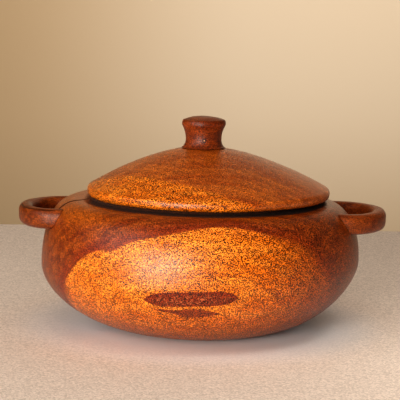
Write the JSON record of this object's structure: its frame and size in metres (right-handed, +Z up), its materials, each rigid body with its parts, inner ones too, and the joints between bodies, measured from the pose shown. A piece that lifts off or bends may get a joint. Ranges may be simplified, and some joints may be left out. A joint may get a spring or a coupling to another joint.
{
  "type": "lidded wooden pot",
  "caption": "Round squat turned wooden pot with a loop handle on each side and a shallow domed lid that lifts off by a flared knob.",
  "frame": {"origin": "centre of the foot's flat underside", "axes": "+Z up along the turning axis, +X towards the right-hand loop, +Y away from the front"},
  "size_m": [0.3102, 0.268, 0.1767],
  "materials": {
    "bowl_wood": "satin",
    "handle_wood": "satin",
    "lid_wood": "satin",
    "knob_wood": "satin",
    "dowel_wood": "matte"
  },
  "bodies": {
    "pot_body": {"bowl": "bowl_wood", "handle_left": "handle_wood", "handle_right": "handle_wood", "dowel_left_front": "dowel_wood", "dowel_left_back": "dowel_wood", "dowel_right_front": "dowel_wood", "dowel_right_back": "dowel_wood"},
    "lid_body": {"lid": "lid_wood", "knob": "knob_wood", "knob_wedge": "dowel_wood"}
  },
  "joints": [
    {"name": "lid_lift", "type": "slide", "parent": "pot_body", "child": "lid_body", "axis": [0, 0, 1], "range_m": [0, 0.12]}
  ]
}
